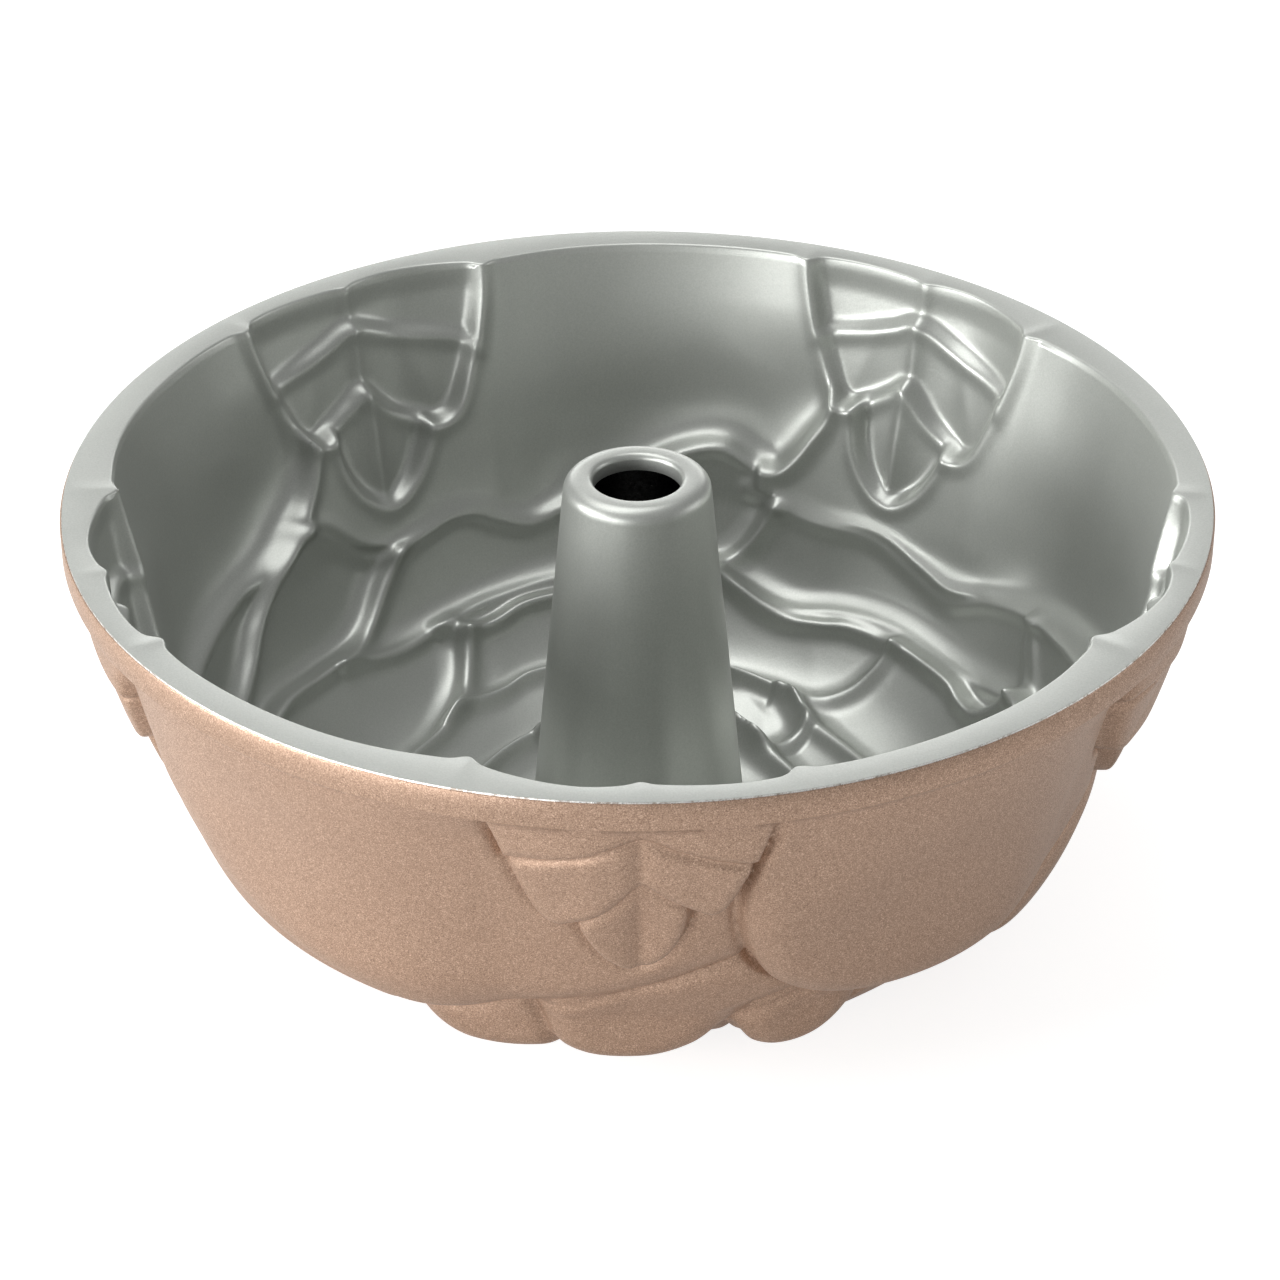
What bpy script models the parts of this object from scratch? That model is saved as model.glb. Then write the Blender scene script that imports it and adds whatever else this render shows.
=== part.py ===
"""Rose-pattern cast tube cake pan.

One aluminium casting, a release coating over its baking side and a painted finish over its
outside. The cavity is a turned bowl whose wall is pushed in and out by overlapping petals and
leaves. Both coatings follow the casting with the same relief, so the three never cross.

The bowl's surface is addressed by an angle about the pan's axis, in degrees from +X towards +Y,
and by a share of the way down the wall: 0 at the rim and 1 at the foot of the centre tube.
"""

import math

import bpy
import numpy as np

MM = 0.001

# Driving dimensions, in millimetres.
RIM_RADIUS = 126.0
RIM_WIDTH = 7.9
RIM_INNER_RADIUS = RIM_RADIUS - RIM_WIDTH
PAN_HEIGHT = 102.0
WALL = 3.9
RIM_BAND_HEIGHT = 6.8
RIM_BAND_STEP = 0.5
RIM_CORNER = 0.5
TUBE_RISE = 1.3
TUBE_HEIGHT = PAN_HEIGHT + TUBE_RISE
TUBE_ROOT_FILLET = 3.0
TUBE_LIP_RADIUS = 3.4
BORE_RADIUS = 9.8
TUBE_LIP_WIDTH = 6.3
TUBE_FLARE = 9.9
TUBE_TOP_RADIUS = BORE_RADIUS + TUBE_LIP_WIDTH
TUBE_ROOT_RADIUS = TUBE_TOP_RADIUS + TUBE_FLARE
BORE_LIP_RADIUS = 1.4
FOOT_WIDTH = 4.0
COATING = 0.3

# Clearances, in millimetres: under each coating, and from the finish to the bare foot ring.
COATING_GAP = 0.2
FOOT_GAP = 0.4

# The bowl's profile: share of the way out from the tube's foot, share of the cavity's depth.
BOWL_PROFILE = (
    (1.0, 0.0),
    (0.969, 0.128),
    (0.935, 0.256),
    (0.853, 0.551),
    (0.812, 0.667),
    (0.703, 0.808),
    (0.539, 0.923),
    (0.334, 0.974),
    (0.129, 1.0),
    (0.0, 1.0),
)

# The leaves hang from the rim at equal steps around the pan.
LEAF_COUNT = 5
LEAF_STEP = 360.0 / LEAF_COUNT
FIRST_LEAF = -90.7

# Depth of the petals' relief, in millimetres outwards from the bowl's profile.
WALL_PETAL_TUCK = -3.6
WALL_PETAL_SWELL = 2.6
WALL_PETAL_REACH = 10.0
PETAL_LIP = 0.8
LOBE_LIFT = 2.3
PETAL_TUCK = 3.4
PETAL_ROOT = 1.2
VALLEY = -5.4
BUD_LAND = 0.0

# The wall petals' height along the petal, from the angle of the leaf that it starts beside.
WALL_PETAL_SECTION = (
    (8.0, 0.0),
    (16.0, 0.1),
    (22.0, 0.5),
    (30.0, 0.3),
    (40.0, -0.1),
    (47.0, -1.0),
    (54.0, -2.6),
    (62.0, WALL_PETAL_TUCK),
    (95.0, WALL_PETAL_TUCK),
)

# Free edges as (angle, share): wall petals from their leaf's angle, the rest from +X.
WALL_PETALS = (
    ((13.5, -0.1), (12.5, 0.1), (11.3, 0.25), (13.5, 0.36), (18.0, 0.42), (28.0, 0.462),
     (42.0, 0.478), (54.0, 0.465), (66.0, 0.42), (78.0, 0.35), (90.0, 0.30)),
    ((13.5, -0.1), (12.5, 0.1), (11.3, 0.22), (13.5, 0.29), (19.0, 0.34), (29.0, 0.37),
     (42.0, 0.40), (51.0, 0.43), (58.0, 0.465), (65.0, 0.45), (73.0, 0.42), (82.0, 0.42),
     (92.0, 0.39)),
    ((13.5, -0.1), (12.5, 0.1), (11.0, 0.22), (13.5, 0.29), (17.0, 0.345), (20.5, 0.345),
     (25.0, 0.32), (30.5, 0.33), (38.0, 0.37), (47.0, 0.42), (52.0, 0.442), (56.0, 0.428),
     (60.0, 0.406), (64.0, 0.402), (69.0, 0.42), (74.0, 0.434), (79.0, 0.412), (84.0, 0.355),
     (90.0, 0.31)),
    ((13.5, -0.1), (12.5, 0.1), (11.4, 0.21), (13.7, 0.285), (18.5, 0.33), (24.5, 0.36),
     (36.0, 0.372), (47.0, 0.381), (60.0, 0.40), (74.0, 0.40), (92.0, 0.36)),
    ((13.5, -0.1), (12.5, 0.1), (11.3, 0.22), (13.5, 0.30), (18.0, 0.38), (30.0, 0.46),
     (42.0, 0.51), (51.0, 0.515), (57.0, 0.49), (62.0, 0.475), (71.0, 0.435), (80.0, 0.388),
     (90.0, 0.34)),
)
SECOND_ROW = (
    ((17.0, 0.3), (15.0, 0.42), (17.0, 0.50), (24.0, 0.54), (34.0, 0.554), (47.0, 0.545),
     (56.0, 0.553), (64.0, 0.572), (70.0, 0.562), (78.0, 0.522), (88.0, 0.48)),
    ((66.0, 0.3), (70.0, 0.39), (74.0, 0.48), (79.0, 0.52), (90.0, 0.525), (104.0, 0.54),
     (114.0, 0.557), (123.0, 0.575), (133.0, 0.59), (146.0, 0.56)),
    ((124.0, 0.34), (127.5, 0.43), (131.5, 0.485), (136.0, 0.534), (141.0, 0.555),
     (150.0, 0.558), (161.0, 0.547), (180.0, 0.56), (194.0, 0.57), (206.0, 0.55)),
    ((136.0, 0.26), (139.0, 0.315), (143.5, 0.342), (150.0, 0.383), (155.0, 0.43),
     (159.5, 0.472), (166.0, 0.50), (178.0, 0.515), (192.0, 0.51), (206.0, 0.48)),
    ((184.0, 0.32), (188.0, 0.42), (192.0, 0.49), (198.0, 0.54), (214.0, 0.56), (235.0, 0.57),
     (252.0, 0.58), (266.0, 0.57)),
    ((308.0, 0.32), (312.0, 0.42), (316.0, 0.50), (322.0, 0.55), (335.0, 0.565),
     (355.0, 0.55), (368.0, 0.528), (376.0, 0.495), (380.5, 0.456), (382.8, 0.40),
     (383.5, 0.33)),
)
LOW_LOBES = (
    ((234.0, 0.34), (236.5, 0.46), (240.0, 0.55), (244.5, 0.60), (250.0, 0.614),
     (256.0, 0.61), (262.0, 0.59), (266.0, 0.55)),
    ((280.0, 0.42), (281.5, 0.50), (283.0, 0.56), (286.0, 0.603), (290.5, 0.613), (295.0, 0.597),
     (299.0, 0.555), (302.5, 0.50), (306.0, 0.44)),
    ((250.0, 0.32), (254.0, 0.42), (256.5, 0.48), (258.0, 0.53), (260.0, 0.575), (264.4, 0.600),
     (271.4, 0.598), (277.0, 0.57), (281.0, 0.535), (285.5, 0.505), (291.0, 0.48),
     (297.0, 0.46), (304.0, 0.43)),
)
SLIVERS = (
    ((14.0, 0.48), (20.0, 0.575), (24.4, 0.588), (29.0, 0.578), (36.0, 0.576), (45.0, 0.571),
     (53.5, 0.575), (58.8, 0.588), (63.5, 0.595), (68.0, 0.586), (72.5, 0.562), (78.0, 0.526),
     (84.0, 0.48)),
    ((80.0, 0.48), (87.0, 0.545), (96.0, 0.568), (104.5, 0.573), (110.0, 0.581),
     (114.5, 0.598), (118.3, 0.604), (121.6, 0.593), (124.4, 0.557), (126.0, 0.50)),
)
THIRD_ROW = (
    ((43.0, 0.48), (44.6, 0.584), (45.6, 0.64), (48.0, 0.69), (53.0, 0.725), (61.0, 0.725),
     (71.0, 0.722), (90.0, 0.718), (111.0, 0.72), (121.0, 0.742), (138.0, 0.74)),
    ((118.0, 0.50), (121.0, 0.59), (124.5, 0.67), (130.0, 0.725), (139.0, 0.762),
     (150.0, 0.77), (180.0, 0.77), (204.0, 0.765), (216.0, 0.75)),
    ((195.0, 0.50), (198.0, 0.59), (201.0, 0.66), (206.0, 0.72), (216.0, 0.755),
     (240.0, 0.76), (270.0, 0.765), (286.0, 0.76), (300.0, 0.74)),
    ((279.0, 0.50), (282.0, 0.59), (285.0, 0.66), (290.0, 0.72), (300.0, 0.755),
     (320.0, 0.76), (350.0, 0.765), (366.0, 0.75)),
    ((343.0, 0.50), (346.0, 0.59), (349.0, 0.67), (354.0, 0.73), (363.0, 0.765),
     (380.0, 0.78), (398.0, 0.783), (408.0, 0.77), (420.0, 0.73)),
)
FOURTH_ROW = (
    ((60.0, 0.68), (56.0, 0.745), (50.5, 0.775), (48.8, 0.80), (50.0, 0.84), (54.0, 0.862),
     (62.0, 0.85), (90.0, 0.85),
     (125.0, 0.867), (150.0, 0.88), (184.0, 0.87)),
    ((164.0, 0.68), (168.0, 0.79), (171.0, 0.84), (178.0, 0.868), (200.0, 0.875),
     (240.0, 0.875), (275.0, 0.87), (304.0, 0.86)),
    ((284.0, 0.68), (288.0, 0.79), (291.0, 0.84), (298.0, 0.868), (320.0, 0.875),
     (350.0, 0.88), (390.0, 0.888), (412.0, 0.87), (424.0, 0.85)),
)

# Leaf tiers from the tip up: outline as (angle, share) from the leaf's own angle.
LEAF_TIP = (
    (-7.0, 0.14), (-6.7, 0.235), (-5.7, 0.282), (-3.2, 0.332), (0.3, 0.358), (3.8, 0.332),
    (5.9, 0.282), (6.7, 0.21), (6.8, 0.14),
)
LEAF_MIDDLE = (
    (-15.6, -0.1), (-15.3, 0.03), (-14.2, 0.11), (-12.6, 0.18), (-10.8, 0.232), (-8.4, 0.248),
    (-6.2, 0.236), (-2.8, 0.212), (0.9, 0.166), (3.6, 0.186), (6.4, 0.208), (8.6, 0.222),
    (10.6, 0.206), (12.4, 0.15), (14.2, 0.07), (15.2, 0.0), (15.4, -0.1),
)
LEAF_TOP = (
    (-17.5, -0.1), (-17.3, 0.03), (-17.0, 0.135), (-12.0, 0.112), (-5.0, 0.090), (0.9, 0.062),
    (5.0, 0.082), (9.5, 0.100), (14.0, 0.112), (17.0, 0.115), (17.3, 0.03), (17.5, -0.1),
)

# The leaf's cross-section from its own angle: two lobes with a creased vein between them.
LEAF_SECTION = (
    (-16.5, -3.0), (-15.4, -2.4), (-13.3, -1.1), (-11.3, 0.0), (-8.3, 1.3), (-5.0, 2.1),
    (-2.0, 1.7), (-0.2, 0.9), (0.9, -0.2), (2.0, 0.8), (4.7, 1.5), (8.0, 2.0), (11.2, 2.1),
    (13.7, 1.7), (15.2, 1.0),
)

# The relief is worked out on this fine grid and read from it.
FINE_COLUMNS = 720
FINE_ROWS = 300
SHARE_LOW = -0.04
SHARE_HIGH = 1.04

# Columns of the solids about each leaf, and rows down the baking side and the outside.
COLUMN_PATTERN = (-15.8, -12.0, -7.5, -3.0, 1.2, 5.0, 9.0, 12.5, 15.6, 22.0, 32.0, 43.0, 50.0)
INNER_SHARES = (
    0.06, 0.12, 0.19, 0.25, 0.31, 0.37, 0.43, 0.49, 0.55, 0.60, 0.68, 0.76, 0.84, 0.91, 1.0,
)
OUTER_SHARES = (0.085,) + INNER_SHARES[1:]

# How the relief's edges run, lengths in millimetres.
EDGES = dict(
    edge=4.0, lip_round=6.0, lip_drop=1.6, crest=0.8, crest_width=2.6, leaf_crest=0.4,
    leaf_width=0.95, smoothing=1.5,
)


def curve_through(points, steps=12):
    """A Catmull-Rom curve through the points, with the ends kept."""
    p = np.array(points, float)
    p = np.vstack([2 * p[0] - p[1], p, 2 * p[-1] - p[-2]])
    t = np.linspace(0, 1, steps, endpoint=False)[:, None]
    spans = []
    for a, b, c, d in zip(p[:-3], p[1:-2], p[2:-1], p[3:]):
        spans.append(
            0.5 * (2 * b + (c - a) * t + (2 * a - 5 * b + 4 * c - d) * t**2
                   + (3 * b - a - 3 * c + d) * t**3)
        )
    return np.vstack(spans + [p[-2:-1]])


def smooth_step(x):
    x = np.clip(x, 0, 1)
    return x * x * (3 - 2 * x)


class Bowl:
    """The turned profile of the cavity, from the rim down to the start of the tube's fillet."""

    def __init__(self):
        root = TUBE_ROOT_RADIUS + TUBE_ROOT_FILLET
        depth = PAN_HEIGHT - WALL
        shares = curve_through(BOWL_PROFILE, 40)
        self.radius = root + shares[:, 0] * (RIM_INNER_RADIUS - root)
        self.height = PAN_HEIGHT - np.minimum(shares[:, 1], 1.0) * depth
        steps = np.hypot(np.diff(self.radius), np.diff(self.height))
        along = np.concatenate([[0], np.cumsum(steps)])
        self.length = along[-1]
        self.share = along / self.length
        turn = np.arctan2(np.gradient(self.height, along), np.gradient(self.radius, along))
        kernel = np.hanning(31)
        padded = np.pad(np.unwrap(turn), 15, mode="edge")
        self.turn = np.convolve(padded, kernel / kernel.sum(), "valid")

    def point(self, share):
        """Radius, height and the outward normal's two parts at each share of the way down."""
        share = np.asarray(share, float)
        radius = np.interp(share, self.share, self.radius)
        height = np.interp(share, self.share, self.height)
        turn = np.interp(share, self.share, self.turn)
        return radius, height, -np.sin(turn), np.cos(turn)


def inside_outline(x, y, outline):
    """Which points lie inside a closed outline, by counting the edges to their right."""
    odd = np.zeros(x.shape, bool)
    for (x0, y0), (x1, y1) in zip(outline, np.roll(outline, -1, axis=0)):
        if y0 == y1:
            continue
        crosses = (y0 > y) != (y1 > y)
        odd ^= crosses & (x < x0 + (y - y0) * (x1 - x0) / (y1 - y0))
    return odd


class Relief:
    """How far the wall stands out from the bowl's profile, in millimetres.

    The baking side and the outside have the same petals. Inside, the crests between them are
    round and the lips tight; outside, the lips are round and the grooves tight.
    """

    def __init__(self, bowl, edge, lip_round, lip_drop, crest, crest_width, leaf_crest,
                 leaf_width, smoothing):
        self.bowl = bowl
        self.edge = edge
        self.lip_round = lip_round
        self.lip_drop = lip_drop
        self.crest = crest
        self.crest_width = crest_width
        self.leaf_crest = leaf_crest
        self.leaf_width = leaf_width
        self.angles = np.arange(FINE_COLUMNS) * 360.0 / FINE_COLUMNS
        self.shares = np.linspace(SHARE_LOW, SHARE_HIGH, FINE_ROWS)
        self.radius = bowl.point(self.shares)[0][:, None]
        bud = smooth_step((self.shares - 0.86) / 0.1)[:, None]
        self.field = np.full((FINE_ROWS, FINE_COLUMNS), VALLEY) * (1 - bud) + BUD_LAND * bud
        for row, slope in ((FOURTH_ROW, 0.20), (THIRD_ROW, 0.13), (SLIVERS, 0.18),
                           (SECOND_ROW, 0.12)):
            for petal in row:
                self.lay_petal(petal, slope)
            if row in (FOURTH_ROW, THIRD_ROW):
                self.lay_petal(row[0], slope, until=0.5)
        for petal in LOW_LOBES:
            self.lay_petal(petal, 0.12, lift=LOBE_LIFT)
        for number, petal in enumerate(WALL_PETALS + WALL_PETALS[:1]):
            turn = FIRST_LEAF + number * LEAF_STEP
            self.lay_wall_petal(petal, turn, until=0.5 if number == LEAF_COUNT else 2.0)
        for number in range(LEAF_COUNT):
            self.lay_leaf(FIRST_LEAF + number * LEAF_STEP)
        self.smooth(smoothing)

    def window(self, low, high):
        """Columns between two angles, and their angles counted on from the lower one."""
        offset = (self.angles - low) % 360.0
        columns = np.nonzero(offset <= high - low)[0]
        columns = columns[np.argsort(offset[columns])]
        return columns, low + offset[columns][None, :]

    def depth_inside(self, angle, outline):
        """Distance in from a free edge, in millimetres, and below 0 outside it.

        The outline is closed far above the rim, so only its own run is an edge.
        """
        middle = outline[:, 0].mean()
        x = np.radians(angle - middle) * self.radius
        y = np.broadcast_to(self.shares[:, None] * self.bowl.length, x.shape)
        edge_radius = self.bowl.point(outline[:, 1])[0]
        edge = np.stack(
            [np.radians(outline[:, 0] - middle) * edge_radius, outline[:, 1] * self.bowl.length],
            axis=1,
        )
        nearest = np.full(x.shape, np.inf)
        for a, b in zip(edge[:-1], edge[1:]):
            span = b - a
            t = ((x - a[0]) * span[0] + (y - a[1]) * span[1]) / max(span @ span, 1e-9)
            t = np.clip(t, 0, 1)
            nearest = np.minimum(
                nearest, (x - a[0] - t * span[0]) ** 2 + (y - a[1] - t * span[1]) ** 2
            )
        closed = np.vstack(
            [outline, [outline[-1, 0], SHARE_LOW - 1], [outline[0, 0], SHARE_LOW - 1]]
        )
        shares = np.broadcast_to(self.shares[:, None], x.shape)
        inside = inside_outline(np.broadcast_to(angle, x.shape), shares, closed)
        return np.where(inside, 1.0, -1.0) * np.sqrt(nearest)

    def lay(self, columns, depth, height, crest):
        """Cover what lies below with a petal, stepping up over the width of its edge.

        A crest follows the foot of the step: a bead in the cavity, a groove on the outside.
        """
        bead = crest * np.exp(-((depth + 0.7 * self.edge) / self.crest_width) ** 2)
        under = self.field[:, columns] - bead
        cover = smooth_step(depth / self.edge + 0.5)
        self.field[:, columns] = under + (height - under) * cover

    def rounding(self, depth):
        """1 at a petal's very edge, falling to 0 where its round lip ends."""
        return (1 - np.clip(depth / self.lip_round, 0, 1)) ** 2

    def lay_petal(self, petal, slope, until=1.0, lift=0.0):
        outline = curve_through(petal)
        span = outline[-1, 0] - outline[0, 0]
        columns, angle = self.window(outline[:, 0].min() - 4, outline[0, 0] + until * span)
        depth = self.depth_inside(angle, outline)
        fall = slope * np.maximum(depth - self.lip_round, 0)
        tuck = smooth_step((angle - outline[0, 0]) / span - 0.35)
        root = smooth_step((outline[:, 1].max() - 0.03 - self.shares[:, None]) / 0.13)
        height = PETAL_LIP + lift - fall - self.lip_drop * self.rounding(depth)
        height = height - PETAL_TUCK * tuck - PETAL_ROOT * root
        self.lay(columns, depth, np.maximum(height, VALLEY), self.crest)

    def lay_wall_petal(self, petal, turn, until):
        outline = curve_through(petal)
        outline[:, 0] += turn
        columns, angle = self.window(turn + 6, turn + min(95.0, until * 90.0))
        depth = self.depth_inside(angle, outline)
        along, height = curve_through(WALL_PETAL_SECTION).T
        section = np.interp(angle - turn, along, height)
        swell = np.maximum(depth, 0) / WALL_PETAL_REACH
        swell = WALL_PETAL_SWELL * swell * np.exp(1 - swell)
        low = smooth_step((self.shares[:, None] - 0.08) / 0.2)
        late = 1 - 0.7 * smooth_step((angle - turn - 45) / 15)
        section = section + low * (swell * late - 0.6 * self.lip_drop * self.rounding(depth))
        self.lay(columns, depth, section, 0.7 * low * self.crest)

    def lay_leaf(self, turn):
        along, section = curve_through(LEAF_SECTION, 4).T
        middle = None
        for tier, fall, lift in ((LEAF_TIP, 0.10, -1.3), (LEAF_MIDDLE, 0.10, 0.3),
                                 (LEAF_TOP, 0.0, 1.1)):
            outline = curve_through(tier, 6)
            outline[:, 0] = turn + outline[:, 0] * self.leaf_width
            columns, angle = self.window(turn - 18, turn + 18)
            depth = self.depth_inside(angle, outline)
            if tier is LEAF_TOP:
                depth = np.minimum(depth, middle)
                lift = lift * smooth_step(self.shares[:, None] / 0.05)
            else:
                middle = depth
            height = np.interp((angle - turn) / self.leaf_width, along, section) + lift
            height = height - fall * np.clip(depth - 2.5, 0, 14)
            height = height - 0.4 * self.lip_drop * self.rounding(depth * 2)
            self.lay(columns, depth, height, self.leaf_crest)

    def smooth(self, width):
        """Round every edge off a little, evenly in millimetres."""
        step_down = (SHARE_HIGH - SHARE_LOW) / (FINE_ROWS - 1) * self.bowl.length
        reach = int(4 * width / step_down) + 1
        weight = np.exp(-0.5 * (np.arange(-reach, reach + 1) * step_down / width) ** 2)
        weight /= weight.sum()
        padded = np.pad(self.field, ((reach, reach), (0, 0)), mode="edge")
        self.field = sum(
            w * padded[k:k + FINE_ROWS] for k, w in enumerate(weight)
        )
        waves = np.fft.rfftfreq(FINE_COLUMNS, 1.0 / FINE_COLUMNS)
        damping = np.exp(-0.5 * (waves[None, :] * width / self.radius) ** 2)
        self.field = np.fft.irfft(np.fft.rfft(self.field, axis=1) * damping, FINE_COLUMNS, axis=1)

    def at(self, share, angles):
        """The relief at one share, for every angle asked for."""
        place = (share - SHARE_LOW) / (SHARE_HIGH - SHARE_LOW) * (FINE_ROWS - 1)
        row = int(min(max(math.floor(place), 0), FINE_ROWS - 2))
        blend = place - row
        line = self.field[row] * (1 - blend) + self.field[row + 1] * blend
        return np.interp(np.asarray(angles) % 360.0, self.angles, line, period=360.0)


def column_angles():
    angles = {round((FIRST_LEAF + n * LEAF_STEP + c) % 360.0, 3)
              for n in range(LEAF_COUNT) for c in COLUMN_PATTERN}
    return np.array(sorted(angles | {0.0, 90.0, 180.0, 270.0}))


def tube_radius(height):
    """The centre tube's outer radius at a height above its foot."""
    return TUBE_ROOT_RADIUS + (TUBE_TOP_RADIUS - TUBE_ROOT_RADIUS) * height / TUBE_HEIGHT


def inner_rows(bowl, relief, angles, offset, rim_edge):
    """Rows of the baking side, set back from its finished face by an offset."""
    ones = np.ones(len(angles))
    rim = (PAN_HEIGHT - offset) * ones
    rows = [(rim_edge * ones, rim),
            (bowl.point(0.0)[0] + relief.at(0.0, angles) + offset, rim)]
    for share in INNER_SHARES:
        radius, height, out, down = bowl.point(share)
        push = relief.at(share, angles) + offset
        rows.append((radius + out * push, height + down * push))
    floor = rows[-1][1]
    reach = TUBE_ROOT_FILLET + offset
    for degrees in (45, 90):
        a = math.radians(degrees)
        blend = degrees / 90
        settled = WALL + TUBE_ROOT_FILLET - reach * math.cos(a)
        raised = floor + reach * (1 - math.cos(a))
        rows.append(((TUBE_ROOT_RADIUS + TUBE_ROOT_FILLET - reach * math.sin(a)) * ones,
                     raised * (1 - blend) + settled * blend))
    lip_centre = TUBE_HEIGHT - TUBE_LIP_RADIUS
    lip_axis = tube_radius(lip_centre) - TUBE_LIP_RADIUS
    reach = TUBE_LIP_RADIUS - offset
    for degrees in (0, 45, 90):
        a = math.radians(degrees)
        rows.append(((lip_axis + reach * math.cos(a)) * ones,
                     (lip_centre + reach * math.sin(a)) * ones))
    reach = BORE_LIP_RADIUS - offset
    for degrees in (90, 0):
        a = math.radians(degrees)
        rows.append(((BORE_RADIUS + BORE_LIP_RADIUS - reach * math.cos(a)) * ones,
                     (TUBE_HEIGHT - BORE_LIP_RADIUS + reach * math.sin(a)) * ones))
    rows.append(((BORE_RADIUS + offset) * ones, (TUBE_HEIGHT - WALL) * ones))
    return rows


def outer_rows(bowl, relief, angles, inset, top):
    """Rows of the outside, from the rim's side down to the foot ring, set in by an inset."""
    ones = np.ones(len(angles))
    band = PAN_HEIGHT - RIM_BAND_HEIGHT
    rows = [((RIM_RADIUS - inset) * ones, (PAN_HEIGHT - top) * ones),
            ((RIM_RADIUS - inset) * ones, band * ones)]
    thick_at_rim = RIM_RADIUS - RIM_BAND_STEP - RIM_INNER_RADIUS
    for share in OUTER_SHARES:
        radius, height, out, down = bowl.point(share)
        extra = (thick_at_rim - WALL) * (1 - smooth_step(share / 0.36))
        push = relief.at(share, angles) * smooth_step(share / 0.12) + WALL + extra - inset
        rows.append((np.minimum(radius + out * push, RIM_RADIUS - RIM_BAND_STEP - inset),
                     np.maximum(height + down * push, inset)))
    foot = foot_outer_radius() + FOOT_GAP
    rows.append((foot * ones, inset * ones))
    return rows


def foot_outer_radius():
    return TUBE_ROOT_RADIUS - WALL + FOOT_WIDTH


def hollow_rows(angles):
    """The foot ring and the hollow up the inside of the tube, to the lip round the bore."""
    ones = np.ones(len(angles))
    shoulder = TUBE_HEIGHT - WALL
    return [
        (foot_outer_radius() * ones, (COATING + COATING_GAP) * ones),
        (foot_outer_radius() * ones, 0.0 * ones),
        ((TUBE_ROOT_RADIUS - WALL) * ones, 0.0 * ones),
        ((tube_radius(shoulder) - WALL) * ones, shoulder * ones),
    ]


def ring_solid(name, angles, front, back, colour, metallic, roughness):
    """A closed ring between the rows of its front and of its back, both listed from the rim.

    Every cell is cut along the same diagonal on both, so layers of one relief never cross.
    """
    rows = front + back[::-1]
    turn = np.radians(angles)
    count = len(angles)
    points = np.concatenate(
        [np.stack([r * np.cos(turn), r * np.sin(turn), z + 0 * turn], axis=1) for r, z in rows]
    )
    faces = []
    for i in range(len(rows)):
        below = (i + 1) % len(rows)
        for j in range(count):
            beside = (j + 1) % count
            a, b = i * count + j, i * count + beside
            c, d = below * count + beside, below * count + j
            if i < len(front):
                faces += [(a, b, d), (b, c, d)]
            else:
                faces += [(a, b, c), (a, c, d)]
    mesh = bpy.data.meshes.new(name)
    mesh.from_pydata((points * MM).tolist(), [], faces)
    mesh.validate()
    mesh.shade_smooth()
    mesh.set_sharp_from_angle(angle=math.radians(40))
    material = bpy.data.materials.new(name)
    material.use_nodes = True
    shader = material.node_tree.nodes["Principled BSDF"]
    shader.inputs["Base Color"].default_value = (*colour, 1.0)
    shader.inputs["Metallic"].default_value = metallic
    shader.inputs["Roughness"].default_value = roughness
    mesh.materials.append(material)
    made = bpy.data.objects.new(name, mesh)
    bpy.context.scene.collection.objects.link(made)
    return made


def build():
    for old in list(bpy.data.objects):
        bpy.data.objects.remove(old, do_unlink=True)
    bowl = Bowl()
    relief = Relief(bowl, **EDGES)
    angles = column_angles()
    back = COATING + COATING_GAP

    coating_edge = RIM_RADIUS - RIM_CORNER
    ring_solid(
        "release_coating", angles,
        inner_rows(bowl, relief, angles, 0.0, coating_edge),
        inner_rows(bowl, relief, angles, COATING, coating_edge),
        (0.42, 0.45, 0.43), 0.3, 0.4,
    )
    ring_solid(
        "pan_casting", angles,
        inner_rows(bowl, relief, angles, back, RIM_RADIUS - back - RIM_CORNER),
        outer_rows(bowl, relief, angles, back, back + RIM_CORNER) + hollow_rows(angles),
        (0.75, 0.75, 0.74), 1.0, 0.35,
    )
    paint_top = RIM_CORNER + COATING
    ring_solid(
        "exterior_finish", angles,
        outer_rows(bowl, relief, angles, COATING, paint_top),
        outer_rows(bowl, relief, angles, 0.0, paint_top),
        (0.55, 0.37, 0.27), 0.5, 0.45,
    )


build()
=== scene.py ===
"""Rose-pattern cast tube cake pan: fine surfaces, finishes, studio and camera.

The bowl's surface is addressed as in the model: an angle about the pan's axis, in degrees, and
a share of the way down the wall, 0 at the rim and 1 at the foot of the centre tube.
"""

import math

import bpy
import numpy as np
from mathutils import Matrix, Vector


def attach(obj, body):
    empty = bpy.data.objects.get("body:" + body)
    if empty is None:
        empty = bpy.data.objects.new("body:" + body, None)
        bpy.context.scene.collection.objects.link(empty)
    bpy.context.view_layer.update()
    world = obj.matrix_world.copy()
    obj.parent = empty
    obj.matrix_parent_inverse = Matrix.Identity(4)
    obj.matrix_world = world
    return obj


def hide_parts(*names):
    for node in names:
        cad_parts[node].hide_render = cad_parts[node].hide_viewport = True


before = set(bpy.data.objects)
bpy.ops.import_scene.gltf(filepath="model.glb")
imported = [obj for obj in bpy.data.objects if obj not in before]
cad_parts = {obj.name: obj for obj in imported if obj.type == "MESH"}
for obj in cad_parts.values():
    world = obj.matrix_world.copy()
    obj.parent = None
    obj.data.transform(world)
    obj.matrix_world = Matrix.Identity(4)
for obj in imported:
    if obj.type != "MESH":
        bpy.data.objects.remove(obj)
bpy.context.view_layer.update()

MM = 0.001

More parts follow.
